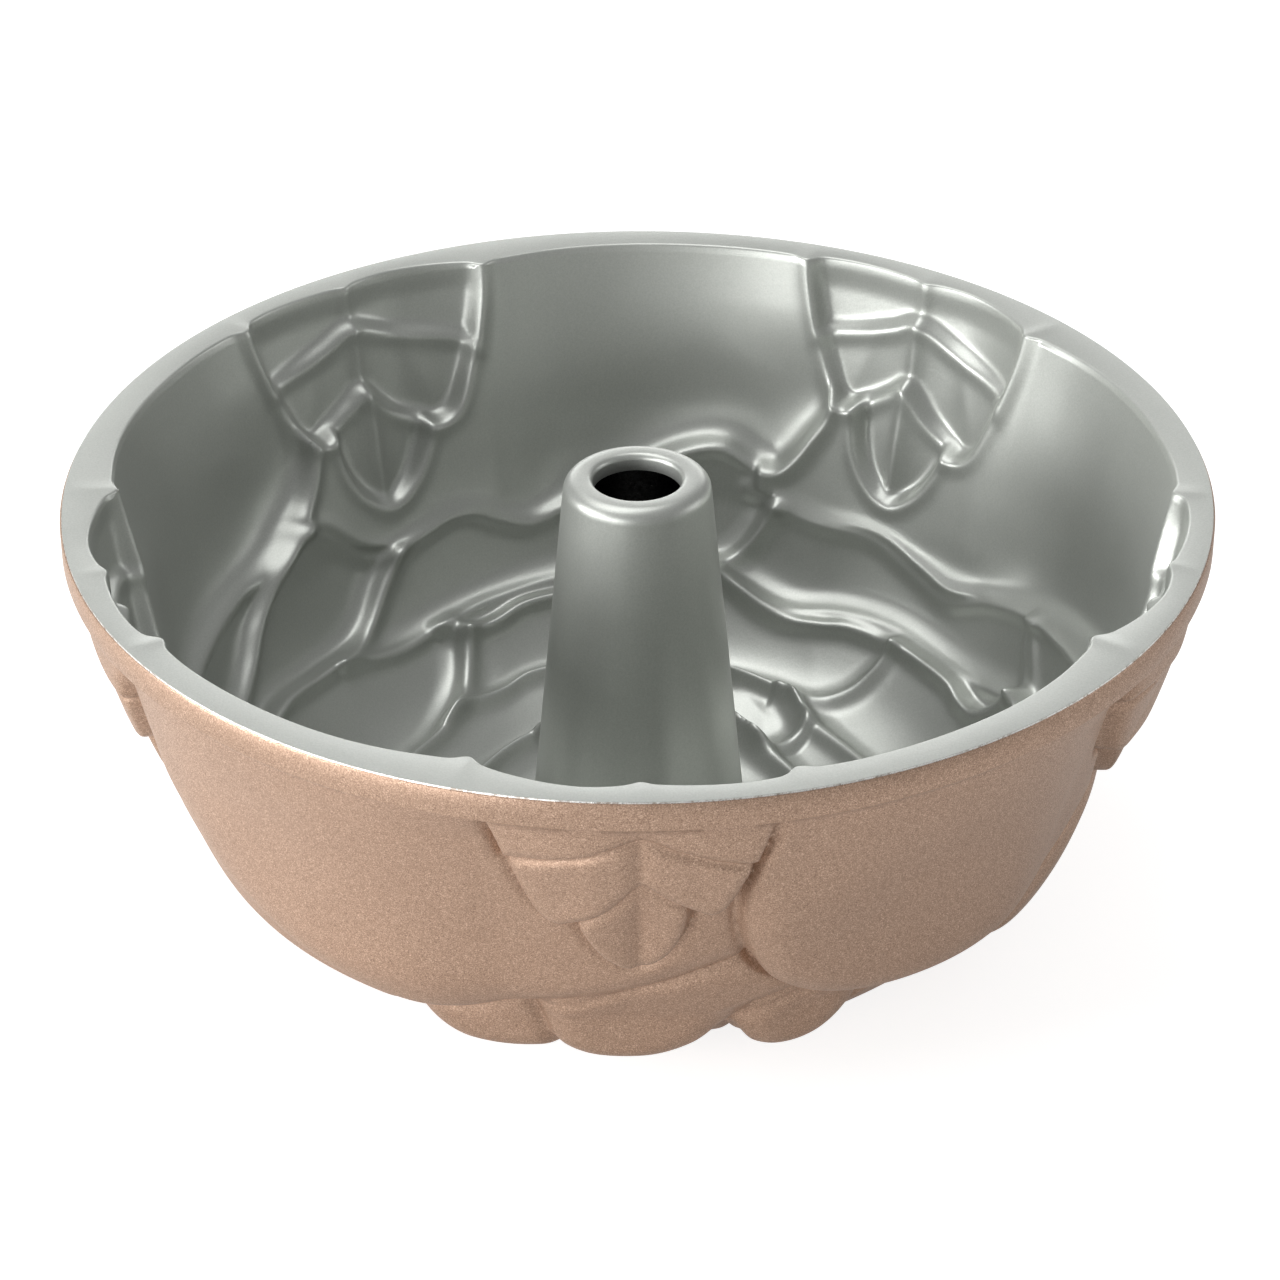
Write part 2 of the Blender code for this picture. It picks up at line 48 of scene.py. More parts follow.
# Driving dimensions, in millimetres, as the model has them.
RIM_RADIUS = 126.0
RIM_WIDTH = 7.9
RIM_INNER_RADIUS = RIM_RADIUS - RIM_WIDTH
PAN_HEIGHT = 102.0
WALL = 3.9
RIM_BAND_HEIGHT = 6.8
RIM_BAND_STEP = 0.5
TUBE_RISE = 1.3
TUBE_HEIGHT = PAN_HEIGHT + TUBE_RISE
TUBE_ROOT_FILLET = 3.0
TUBE_LIP_RADIUS = 3.4
BORE_RADIUS = 9.8
TUBE_LIP_WIDTH = 6.3
TUBE_FLARE = 9.9
TUBE_TOP_RADIUS = BORE_RADIUS + TUBE_LIP_WIDTH
TUBE_ROOT_RADIUS = TUBE_TOP_RADIUS + TUBE_FLARE
BORE_LIP_RADIUS = 1.4
FOOT_WIDTH = 4.0
FOOT_GAP = 0.4

# The coatings' own, nearer the real films than the model's.
COATING = 0.10
COATING_GAP = 0.03

# Small rounds and bevels that only the fine surfaces have.
RIM_CORNER = 0.45
RIM_INNER_ROUND = 0.7
FOOT_CORNER = 0.4

# The bowl's profile: share of the way out from the tube's foot, share of the cavity's depth.
BOWL_PROFILE = (
    (1.0, 0.0),
    (0.969, 0.128),
    (0.935, 0.256),
    (0.853, 0.551),
    (0.812, 0.667),
    (0.703, 0.808),
    (0.539, 0.923),
    (0.334, 0.974),
    (0.129, 1.0),
    (0.0, 1.0),
)

# The leaves hang from the rim at equal steps around the pan.
LEAF_COUNT = 5
LEAF_STEP = 360.0 / LEAF_COUNT
FIRST_LEAF = -90.7

# Heights of the relief, in millimetres outwards from the bowl's profile: the petals' lips, how
# far their roots and tucked ends sink, and the ground between them.
WALL_PETAL_TUCK = -3.6
WALL_PETAL_SWELL = 2.6
WALL_PETAL_REACH = 10.0
PETAL_LIP = 0.8
LOBE_LIFT = 2.3
LOBE_SINK = 5.0
PETAL_TUCK = 3.4
PETAL_ROOT = 1.2
VALLEY = -5.4
BUD_LAND = 0.0

# The wall petals' height along the petal, from the angle of the leaf that it starts beside.
WALL_PETAL_SECTION = (
    (8.0, 0.0),
    (16.0, 0.1),
    (22.0, 0.5),
    (30.0, 0.3),
    (40.0, -0.1),
    (47.0, -1.0),
    (54.0, -2.6),
    (62.0, WALL_PETAL_TUCK),
    (95.0, WALL_PETAL_TUCK),
)

# Free edges as (angle, share): wall petals from their leaf's angle, the rest from +X. The low
# lobes are the tips at the front that stand out under the wall petals.
WALL_PETALS = (
    ((13.5, -0.1), (12.5, 0.1), (11.3, 0.25), (13.5, 0.36), (18.0, 0.42), (28.0, 0.462),
     (42.0, 0.478), (54.0, 0.465), (66.0, 0.42), (78.0, 0.35), (90.0, 0.30)),
    ((13.5, -0.1), (12.5, 0.1), (11.3, 0.22), (13.5, 0.29), (19.0, 0.34), (29.0, 0.37),
     (42.0, 0.40), (51.0, 0.43), (58.0, 0.465), (65.0, 0.45), (73.0, 0.42), (82.0, 0.42),
     (92.0, 0.39)),
    ((13.5, -0.1), (12.5, 0.1), (11.0, 0.22), (13.5, 0.29), (17.0, 0.345), (20.5, 0.345),
     (25.0, 0.32), (30.5, 0.33), (38.0, 0.37), (47.0, 0.42), (52.0, 0.442), (56.0, 0.428),
     (60.0, 0.406), (64.0, 0.402), (69.0, 0.42), (74.0, 0.434), (79.0, 0.412), (84.0, 0.355),
     (90.0, 0.31)),
    ((13.5, -0.1), (12.5, 0.1), (11.4, 0.21), (13.7, 0.285), (18.5, 0.33), (24.5, 0.36),
     (36.0, 0.372), (47.0, 0.381), (60.0, 0.40), (74.0, 0.40), (92.0, 0.36)),
    ((13.5, -0.1), (12.5, 0.1), (11.3, 0.22), (13.5, 0.30), (18.0, 0.38), (30.0, 0.46),
     (42.0, 0.51), (51.0, 0.515), (57.0, 0.49), (62.0, 0.475), (71.0, 0.435), (80.0, 0.388),
     (90.0, 0.34)),
)
SECOND_ROW = (
    ((17.0, 0.3), (15.0, 0.42), (17.0, 0.50), (24.0, 0.54), (34.0, 0.554), (47.0, 0.545),
     (56.0, 0.553), (64.0, 0.572), (70.0, 0.562), (78.0, 0.522), (88.0, 0.48)),
    ((66.0, 0.3), (70.0, 0.39), (74.0, 0.48), (79.0, 0.52), (90.0, 0.525), (104.0, 0.54),
     (114.0, 0.557), (123.0, 0.575), (133.0, 0.59), (146.0, 0.56)),
    ((124.0, 0.34), (127.5, 0.43), (131.5, 0.485), (136.0, 0.534), (141.0, 0.555),
     (150.0, 0.558), (161.0, 0.547), (180.0, 0.56), (194.0, 0.57), (206.0, 0.55)),
    ((136.0, 0.26), (139.0, 0.315), (143.5, 0.342), (150.0, 0.383), (155.0, 0.43),
     (159.5, 0.472), (166.0, 0.50), (178.0, 0.515), (192.0, 0.51), (206.0, 0.48)),
    ((184.0, 0.32), (188.0, 0.42), (192.0, 0.49), (198.0, 0.54), (214.0, 0.56), (235.0, 0.57),
     (252.0, 0.58), (266.0, 0.57)),
    ((308.0, 0.32), (312.0, 0.42), (316.0, 0.50), (322.0, 0.55), (335.0, 0.565),
     (355.0, 0.55), (368.0, 0.528), (376.0, 0.495), (380.5, 0.456), (382.8, 0.40),
     (383.5, 0.33)),
)
LOW_LOBES = (
    ((234.0, 0.34), (236.5, 0.46), (240.0, 0.55), (244.5, 0.60), (250.0, 0.614),
     (256.0, 0.61), (262.0, 0.59), (266.0, 0.55)),
    ((280.0, 0.42), (281.5, 0.50), (283.0, 0.56), (286.0, 0.603), (290.5, 0.613), (295.0, 0.597),
     (299.0, 0.555), (302.5, 0.50), (306.0, 0.44)),
    ((250.0, 0.32), (254.0, 0.42), (256.5, 0.48), (258.0, 0.53), (260.0, 0.575), (264.4, 0.600),
     (271.4, 0.598), (277.0, 0.57), (281.0, 0.535), (285.5, 0.505), (291.0, 0.48),
     (297.0, 0.46), (304.0, 0.43)),
)
SLIVERS = (
    ((14.0, 0.48), (20.0, 0.575), (24.4, 0.588), (29.0, 0.578), (36.0, 0.576), (45.0, 0.571),
     (53.5, 0.575), (58.8, 0.588), (63.5, 0.595), (68.0, 0.586), (72.5, 0.562), (78.0, 0.526),
     (84.0, 0.48)),
    ((80.0, 0.48), (87.0, 0.545), (96.0, 0.568), (104.5, 0.573), (110.0, 0.581),
     (114.5, 0.598), (118.3, 0.604), (121.6, 0.593), (124.4, 0.557), (126.0, 0.50)),
)
THIRD_ROW = (
    ((43.0, 0.48), (44.6, 0.584), (45.6, 0.64), (48.0, 0.69), (53.0, 0.725), (61.0, 0.725),
     (71.0, 0.722), (90.0, 0.718), (111.0, 0.72), (121.0, 0.742), (138.0, 0.74)),
    ((118.0, 0.50), (121.0, 0.59), (124.5, 0.67), (130.0, 0.725), (139.0, 0.762),
     (150.0, 0.77), (180.0, 0.77), (204.0, 0.765), (216.0, 0.75)),
    ((195.0, 0.50), (198.0, 0.59), (201.0, 0.66), (206.0, 0.72), (216.0, 0.755),
     (240.0, 0.76), (270.0, 0.765), (286.0, 0.76), (300.0, 0.74)),
    ((279.0, 0.50), (282.0, 0.59), (285.0, 0.66), (290.0, 0.72), (300.0, 0.755),
     (320.0, 0.76), (350.0, 0.765), (366.0, 0.75)),
    ((343.0, 0.50), (346.0, 0.59), (349.0, 0.67), (354.0, 0.73), (363.0, 0.765),
     (380.0, 0.78), (398.0, 0.783), (408.0, 0.77), (420.0, 0.73)),
)
FOURTH_ROW = (
    ((60.0, 0.68), (56.0, 0.745), (50.5, 0.775), (48.8, 0.80), (50.0, 0.84), (54.0, 0.862),
     (62.0, 0.85), (90.0, 0.85),
     (125.0, 0.867), (150.0, 0.88), (184.0, 0.87)),
    ((164.0, 0.68), (168.0, 0.79), (171.0, 0.84), (178.0, 0.868), (200.0, 0.875),
     (240.0, 0.875), (275.0, 0.87), (304.0, 0.86)),
    ((284.0, 0.68), (288.0, 0.79), (291.0, 0.84), (298.0, 0.868), (320.0, 0.875),
     (350.0, 0.88), (390.0, 0.888), (412.0, 0.87), (424.0, 0.85)),
)

# The rows from the tube outwards, each with its petals' fall per millimetre from their lips.
PETAL_ROWS = ((FOURTH_ROW, 0.20), (THIRD_ROW, 0.13), (SLIVERS, 0.18), (SECOND_ROW, 0.12))
LOBE_FALL = 0.12

# Leaf tiers from the tip up: outline as (angle, share) from the leaf's own angle.
LEAF_TIP = (
    (-7.0, 0.14), (-6.7, 0.235), (-5.7, 0.282), (-3.2, 0.332), (0.3, 0.358), (3.8, 0.332),
    (5.9, 0.282), (6.7, 0.21), (6.8, 0.14),
)
LEAF_MIDDLE = (
    (-15.6, -0.1), (-15.3, 0.03), (-14.2, 0.11), (-12.6, 0.18), (-10.8, 0.232), (-8.4, 0.248),
    (-6.2, 0.236), (-2.8, 0.212), (0.9, 0.166), (3.6, 0.186), (6.4, 0.208), (8.6, 0.222),
    (10.6, 0.206), (12.4, 0.15), (14.2, 0.07), (15.2, 0.0), (15.4, -0.1),
)
LEAF_TOP = (
    (-17.5, -0.1), (-17.3, 0.03), (-17.0, 0.135), (-12.0, 0.112), (-5.0, 0.090), (0.9, 0.062),
    (5.0, 0.082), (9.5, 0.100), (14.0, 0.112), (17.0, 0.115), (17.3, 0.03), (17.5, -0.1),
)

# Each tier's fall per millimetre from its edge, and its height over the leaf's section.
LEAF_TIERS = ((LEAF_TIP, 0.10, -1.3), (LEAF_MIDDLE, 0.10, 0.3), (LEAF_TOP, 0.0, 1.1))

# The leaf's cross-section from its own angle: two lobes with a creased vein between them.
LEAF_SECTION = (
    (-16.5, -3.0), (-15.4, -2.4), (-13.3, -1.1), (-11.3, 0.0), (-8.3, 1.3), (-5.0, 2.1),
    (-2.0, 1.7), (-0.2, 0.9), (0.9, -0.2), (2.0, 0.8), (4.7, 1.5), (8.0, 2.0), (11.2, 2.1),
    (13.7, 1.7), (15.2, 1.0),
)

# The lights' places and sizes in metres and powers in watts, and the point that they face.
LIGHTS = (
    ("overhead", (-0.3, 0.22, 1.3), 1.1, 0.8, 9.2),
    ("left_window", (-1.5, -0.45, 0.45), 0.8, 0.5, 21.0),
    ("back_window", (0.0, 1.8, 0.58), 1.8, 0.5, 9.5),
    ("front_window", (-1.1, -1.5, 0.36), 1.0, 0.4, 12.0),
    ("right_window", (1.6, 0.1, 0.45), 0.8, 0.5, 3.0),
)
LIT_POINT = (0.0, 0.0, 0.05)

# The floor's half-width in metres.
FLOOR_REACH = 6.0

# The camera's distance from the middle of the rim, in rim radii, and its angles in degrees.
CAMERA_LENS = 112.26
CAMERA_DISTANCE = 6.9613
CAMERA_RISE = 29.439
CAMERA_PITCH = 31.710
CAMERA_YAW = 0.033
CAMERA_ROLL = -0.239

# The relief is worked out on this fine grid and read from it.
FINE_COLUMNS = 1080
FINE_ROWS = 340
SHARE_LOW = -0.04
SHARE_HIGH = 1.04

# Faces that another layer hides are set this much further back, in millimetres.
HIDDEN_BACK = 0.3

# The wall is nowhere thinner than this where the two sides' relief differs.
THINNEST_WALL = 2.0

# How the relief's edges run on each side, in millimetres: the width of a step, the round of a
# lip and its drop, the crest or groove at the step's foot, and the final smoothing. leaf_width
# scales the leaves across: they are narrower on the outside.
INSIDE_EDGES = dict(
    edge=2.6, lip_round=5.0, lip_drop=1.4, crest=2.1, crest_width=2.2, leaf_crest=0.7,
    leaf_width=1.0, smoothing=0.68,
)
OUTSIDE_EDGES = dict(
    edge=1.4, lip_round=7.0, lip_drop=2.8, crest=1.6, crest_width=1.3, leaf_crest=1.35,
    leaf_width=0.9, smoothing=0.40,
)


def curve_through(points, steps=12):
    """A Catmull-Rom curve through the points, with the ends kept."""
    p = np.array(points, float)
    p = np.vstack([2 * p[0] - p[1], p, 2 * p[-1] - p[-2]])
    t = np.linspace(0, 1, steps, endpoint=False)[:, None]
    spans = []
    for a, b, c, d in zip(p[:-3], p[1:-2], p[2:-1], p[3:]):
        spans.append(
            0.5 * (2 * b + (c - a) * t + (2 * a - 5 * b + 4 * c - d) * t**2
                   + (3 * b - a - 3 * c + d) * t**3)
        )
    return np.vstack(spans + [p[-2:-1]])


def smooth_step(x):
    """0 up to 0, 1 from 1 on, and a smooth rise between."""
    x = np.clip(x, 0, 1)
    return x * x * (3 - 2 * x)


class Bowl:
    """The turned profile of the cavity, from the rim down to the start of the tube's fillet."""

    def __init__(self):
        root = TUBE_ROOT_RADIUS + TUBE_ROOT_FILLET
        depth = PAN_HEIGHT - WALL
        shares = curve_through(BOWL_PROFILE, 40)
        self.radius = root + shares[:, 0] * (RIM_INNER_RADIUS - root)
        self.height = PAN_HEIGHT - np.minimum(shares[:, 1], 1.0) * depth
        steps = np.hypot(np.diff(self.radius), np.diff(self.height))
        along = np.concatenate([[0], np.cumsum(steps)])
        self.length = along[-1]
        self.share = along / self.length
        turn = np.arctan2(np.gradient(self.height, along), np.gradient(self.radius, along))
        kernel = np.hanning(31)
        padded = np.pad(np.unwrap(turn), 15, mode="edge")
        self.turn = np.convolve(padded, kernel / kernel.sum(), "valid")

    def point(self, share):
        """Radius, height and the outward normal's two parts at each share of the way down."""
        share = np.asarray(share, float)
        radius = np.interp(share, self.share, self.radius)
        height = np.interp(share, self.share, self.height)
        turn = np.interp(share, self.share, self.turn)
        return radius, height, -np.sin(turn), np.cos(turn)


def inside_outline(x, y, outline):
    """Which points lie inside a closed outline, by counting the edges to their right."""
    odd = np.zeros(x.shape, bool)
    for (x0, y0), (x1, y1) in zip(outline, np.roll(outline, -1, axis=0)):
        if y0 == y1:
            continue
        crosses = (y0 > y) != (y1 > y)
        odd ^= crosses & (x < x0 + (y - y0) * (x1 - x0) / (y1 - y0))
    return odd


class Relief:
    """How far the wall stands out from the bowl's profile, in millimetres.

    The baking side and the outside have the same petals. Inside, the crests between them are
    round and the lips tight; outside, the lips are round and the grooves tight.
    """

    def __init__(self, bowl, edge, lip_round, lip_drop, crest, crest_width, leaf_crest,
                 leaf_width, smoothing):
        self.bowl = bowl
        self.edge = edge
        self.lip_round = lip_round
        self.lip_drop = lip_drop
        self.crest = crest
        self.crest_width = crest_width
        self.leaf_crest = leaf_crest
        self.leaf_width = leaf_width
        self.angles = np.arange(FINE_COLUMNS) * 360.0 / FINE_COLUMNS
        self.shares = np.linspace(SHARE_LOW, SHARE_HIGH, FINE_ROWS)
        self.radius = bowl.point(self.shares)[0][:, None]
        bud = smooth_step((self.shares - 0.86) / 0.1)[:, None]
        self.field = np.full((FINE_ROWS, FINE_COLUMNS), VALLEY) * (1 - bud) + BUD_LAND * bud
        for row, slope in PETAL_ROWS:
            for petal in row:
                self.lay_petal(petal, slope)
            # A ring closes with the first half of its first petal, laid again over the last.
            if row in (FOURTH_ROW, THIRD_ROW):
                self.lay_petal(row[0], slope, until=0.5)
        for petal in LOW_LOBES:
            self.lay_petal(petal, LOBE_FALL, lift=LOBE_LIFT, sink=LOBE_SINK)
        for number, petal in enumerate(WALL_PETALS + WALL_PETALS[:1]):
            turn = FIRST_LEAF + number * LEAF_STEP
            self.lay_wall_petal(petal, turn, until=0.5 if number == LEAF_COUNT else 2.0)
        for number in range(LEAF_COUNT):
            self.lay_leaf(FIRST_LEAF + number * LEAF_STEP)
        self.smooth(smoothing)

    def window(self, low, high):
        """Columns between two angles, and their angles counted on from the lower one."""
        offset = (self.angles - low) % 360.0
        columns = np.nonzero(offset <= high - low)[0]
        columns = columns[np.argsort(offset[columns])]
        return columns, low + offset[columns][None, :]

    def depth_inside(self, angle, outline):
        """Distance in from a free edge, in millimetres, and below 0 outside it.

        The outline is closed far above the rim, so only its own run is an edge.
        """
        middle = outline[:, 0].mean()
        x = np.radians(angle - middle) * self.radius
        y = np.broadcast_to(self.shares[:, None] * self.bowl.length, x.shape)
        edge_radius = self.bowl.point(outline[:, 1])[0]
        edge = np.stack(
            [np.radians(outline[:, 0] - middle) * edge_radius, outline[:, 1] * self.bowl.length],
            axis=1,
        )
        nearest = np.full(x.shape, np.inf)
        for a, b in zip(edge[:-1], edge[1:]):
            span = b - a
            t = ((x - a[0]) * span[0] + (y - a[1]) * span[1]) / max(span @ span, 1e-9)
            t = np.clip(t, 0, 1)
            nearest = np.minimum(
                nearest, (x - a[0] - t * span[0]) ** 2 + (y - a[1] - t * span[1]) ** 2
            )
        closed = np.vstack(
            [outline, [outline[-1, 0], SHARE_LOW - 1], [outline[0, 0], SHARE_LOW - 1]]
        )
        shares = np.broadcast_to(self.shares[:, None], x.shape)
        inside = inside_outline(np.broadcast_to(angle, x.shape), shares, closed)
        return np.where(inside, 1.0, -1.0) * np.sqrt(nearest)

    def lay(self, columns, depth, height, crest):
        """Cover what lies below with a petal, stepping up over the width of its edge.

        A crest follows the foot of the step: a bead in the cavity, a groove on the outside.
        """
        bead = crest * np.exp(-((depth + 0.7 * self.edge) / self.crest_width) ** 2)
        under = self.field[:, columns] - bead
        cover = smooth_step(depth / self.edge + 0.5)
        self.field[:, columns] = under + (height - under) * cover

    def rounding(self, depth):
        """1 at a petal's very edge, falling to 0 where its round lip ends."""
        return (1 - np.clip(depth / self.lip_round, 0, 1)) ** 2

    def lay_petal(self, petal, slope, until=1.0, lift=0.0, sink=0.0):
        """Lay a petal that falls away from its lip, and whose far end tucks under the next.

        A lift raises all of it, and a sink lowers the part behind its tip.
        """
        outline = curve_through(petal)
        span = outline[-1, 0] - outline[0, 0]
        columns, angle = self.window(outline[:, 0].min() - 4, outline[0, 0] + until * span)
        depth = self.depth_inside(angle, outline)
        fall = slope * np.maximum(depth - self.lip_round, 0)
        tuck = smooth_step((angle - outline[0, 0]) / span - 0.35)
        above_tip = outline[:, 1].max() - self.shares[:, None]
        root = smooth_step((above_tip - 0.03) / 0.13)
        behind = smooth_step((above_tip - 0.02) / 0.09)
        height = PETAL_LIP + lift - fall - self.lip_drop * self.rounding(depth)
        height = height - PETAL_TUCK * tuck - PETAL_ROOT * root - sink * behind
        self.lay(columns, depth, np.maximum(height, VALLEY), self.crest)

    def lay_wall_petal(self, petal, turn, until):
        """Lay a big petal from beside one leaf to under the next, swelling above its low edge."""
        outline = curve_through(petal)
        outline[:, 0] += turn
        columns, angle = self.window(turn + 6, turn + min(95.0, until * 90.0))
        depth = self.depth_inside(angle, outline)
        along, height = curve_through(WALL_PETAL_SECTION).T
        section = np.interp(angle - turn, along, height)
        swell = np.maximum(depth, 0) / WALL_PETAL_REACH
        swell = WALL_PETAL_SWELL * swell * np.exp(1 - swell)
        low = smooth_step((self.shares[:, None] - 0.08) / 0.2)
        late = 1 - 0.7 * smooth_step((angle - turn - 45) / 15)
        section = section + low * (swell * late - 0.6 * self.lip_drop * self.rounding(depth))
        self.lay(columns, depth, section, 0.7 * low * self.crest)

    def lay_leaf(self, turn):
        """Lay one leaf at an angle, tier over tier from its tip to the rim."""
        along, section = curve_through(LEAF_SECTION, 4).T
        middle = None
        for tier, fall, lift in LEAF_TIERS:
            outline = curve_through(tier, 6)
            outline[:, 0] = turn + outline[:, 0] * self.leaf_width
            columns, angle = self.window(turn - 18, turn + 18)
            depth = self.depth_inside(angle, outline)
            if tier is LEAF_TOP:
                depth = np.minimum(depth, middle)
                lift = lift * smooth_step(self.shares[:, None] / 0.05)
            else:
                middle = depth
            height = np.interp((angle - turn) / self.leaf_width, along, section) + lift
            height = height - fall * np.clip(depth - 2.5, 0, 14)
            height = height - 0.4 * self.lip_drop * self.rounding(depth * 2)
            self.lay(columns, depth, height, self.leaf_crest)

    def smooth(self, width):
        """Round every edge off a little, evenly in millimetres."""
        step_down = (SHARE_HIGH - SHARE_LOW) / (FINE_ROWS - 1) * self.bowl.length
        reach = int(4 * width / step_down) + 1
        weight = np.exp(-0.5 * (np.arange(-reach, reach + 1) * step_down / width) ** 2)
        weight /= weight.sum()
        padded = np.pad(self.field, ((reach, reach), (0, 0)), mode="edge")
        self.field = sum(
            w * padded[k:k + FINE_ROWS] for k, w in enumerate(weight)
        )
        waves = np.fft.rfftfreq(FINE_COLUMNS, 1.0 / FINE_COLUMNS)
        damping = np.exp(-0.5 * (waves[None, :] * width / self.radius) ** 2)
        self.field = np.fft.irfft(np.fft.rfft(self.field, axis=1) * damping, FINE_COLUMNS, axis=1)

    def at(self, share, angles):
        """The relief at one share, for every angle asked for."""
        place = (share - SHARE_LOW) / (SHARE_HIGH - SHARE_LOW) * (FINE_ROWS - 1)
        row = int(min(max(math.floor(place), 0), FINE_ROWS - 2))
        blend = place - row
        line = self.field[row] * (1 - blend) + self.field[row + 1] * blend
        return np.interp(np.asarray(angles) % 360.0, self.angles, line, period=360.0)


def tube_radius(height):
    """The centre tube's outer radius at a height above its foot."""
    return TUBE_ROOT_RADIUS + (TUBE_TOP_RADIUS - TUBE_ROOT_RADIUS) * height / TUBE_HEIGHT


def foot_outer_radius():
    """The bare foot ring's outer edge, one foot width out from the hollow under the tube."""
    return TUBE_ROOT_RADIUS - WALL + FOOT_WIDTH


def shares_between(relief, low, high):
    """The relief's own rows between two shares, and the two shares themselves."""
    own = relief.shares[(relief.shares > low + 0.002) & (relief.shares < high - 0.002)]
    return np.concatenate([[low], own, [high]])


def arc_row(centre_r, centre_z, reach, degrees, ones):
    """A row on a round about a centre given by its radius and height."""
    a = math.radians(degrees)
    return (centre_r + reach * math.cos(a)) * ones, (centre_z + reach * math.sin(a)) * ones


def inner_rows(bowl, relief, angles, offset, rim_edge, hidden=0):
    """Rows of the baking side, set back from its finished face by an offset.

    They run from the rim's outer edge, down the cavity and up the tube, into the bore.
    """
    ones = np.ones(len(angles))
    top = PAN_HEIGHT - offset
    edge_radius = bowl.point(0.0)[0] + relief.at(0.0, angles) + offset
    rows = [(rim_edge * ones, top * ones)]
    # The rim's inner edge turns down into the cavity over a small round.
    for degrees in (90, 60, 30, 0):
        a = math.radians(degrees)
        reach = RIM_INNER_ROUND - offset
        rows.append((edge_radius - offset + RIM_INNER_ROUND - reach * math.cos(a),
                     (PAN_HEIGHT - RIM_INNER_ROUND + reach * math.sin(a)) * ones))
    for share in shares_between(relief, 1.4 / bowl.length, 1.0):
        radius, height, out, down = bowl.point(share)
        back = HIDDEN_BACK * hidden * smooth_step(share / 0.05) * smooth_step((1 - share) / 0.05)
        push = relief.at(share, angles) + offset + back
        rows.append((radius + out * push, height + down * push))
    # The fillet starts on the petals and comes to one level where it meets the tube.
    side = TUBE_ROOT_RADIUS + TUBE_ROOT_FILLET
    floor = rows[-1][1]
    base = WALL + TUBE_ROOT_FILLET
    for degrees in (18, 36, 54, 72, 90):
        a = math.radians(degrees)
        reach = TUBE_ROOT_FILLET + offset
        blend = degrees / 90
        settled = base - reach * math.cos(a)
        raised = floor + reach * (1 - math.cos(a))
        rows.append(((side - reach * math.sin(a)) * ones, raised * (1 - blend) + settled * blend))
    lip_centre = TUBE_HEIGHT - TUBE_LIP_RADIUS
    start = rows[-1][1].mean()
    for height in np.linspace(start, lip_centre, 12)[1:-1]:
        rows.append(((tube_radius(height) - offset) * ones, height * ones))
    lip_axis = tube_radius(lip_centre) - TUBE_LIP_RADIUS
    for degrees in (0, 15, 30, 45, 60, 75, 90):
        rows.append(arc_row(lip_axis, lip_centre, TUBE_LIP_RADIUS - offset, degrees, ones))
    for degrees in (90, 110, 130, 155, 180):
        rows.append(arc_row(BORE_RADIUS + BORE_LIP_RADIUS, TUBE_HEIGHT - BORE_LIP_RADIUS,
                            BORE_LIP_RADIUS - offset, degrees, ones))
    rows.append(((BORE_RADIUS + offset) * ones, (TUBE_HEIGHT - WALL) * ones))
    return rows


def outer_rows(bowl, relief, inside, angles, inset, top, hidden=0):
    """Rows of the outside, from the rim's side down to the foot ring, set in by an inset.

    The wall thickens towards the rim, and the relief fades out under the rim's band.
    """
    ones = np.ones(len(angles))
    band = PAN_HEIGHT - RIM_BAND_HEIGHT
    limit = RIM_RADIUS - RIM_BAND_STEP - inset
    rows = [((RIM_RADIUS - inset - 0.25) * ones, (PAN_HEIGHT - top) * ones),
            ((RIM_RADIUS - inset) * ones, (PAN_HEIGHT - top - 0.35) * ones),
            ((RIM_RADIUS - inset) * ones, (band + 0.5) * ones),
            ((RIM_RADIUS - inset - 0.12) * ones, (band + 0.12) * ones),
            ((RIM_RADIUS - inset - RIM_BAND_STEP) * ones, band * ones)]
    thick_at_rim = RIM_RADIUS - RIM_BAND_STEP - RIM_INNER_RADIUS
    for share in shares_between(relief, (RIM_BAND_HEIGHT + 0.5) / bowl.length, 1.0):
        radius, height, out, down = bowl.point(share)
        extra = (thick_at_rim - WALL) * (1 - smooth_step(share / 0.36))
        push = relief.at(share, angles) * smooth_step(share / 0.12) + WALL + extra
        push = np.maximum(push, inside.at(share, angles) + THINNEST_WALL) - inset
        push = push - HIDDEN_BACK * hidden * smooth_step((share - 0.05) / 0.05)
        rows.append((np.minimum(radius + out * push, limit),
                     np.maximum(height + down * push, inset + HIDDEN_BACK * hidden)))
    rows.append(((foot_outer_radius() + FOOT_GAP) * ones, inset * ones))
    return rows


def hollow_rows(angles):
    """The foot ring and the hollow up the inside of the tube, to the lip round the bore."""
    ones = np.ones(len(angles))
    shoulder = TUBE_HEIGHT - WALL
    outer = foot_outer_radius()
    inner = TUBE_ROOT_RADIUS - WALL
    return [
        (outer * ones, (COATING + COATING_GAP) * ones),
        (outer * ones, 0.0 * ones),
        ((inner + FOOT_CORNER) * ones, 0.0 * ones),
        (inner * ones, FOOT_CORNER * ones),
        ((tube_radius(shoulder) - WALL) * ones, (shoulder - 1.0) * ones),
        ((tube_radius(shoulder) - WALL - 1.0) * ones, shoulder * ones),
    ]


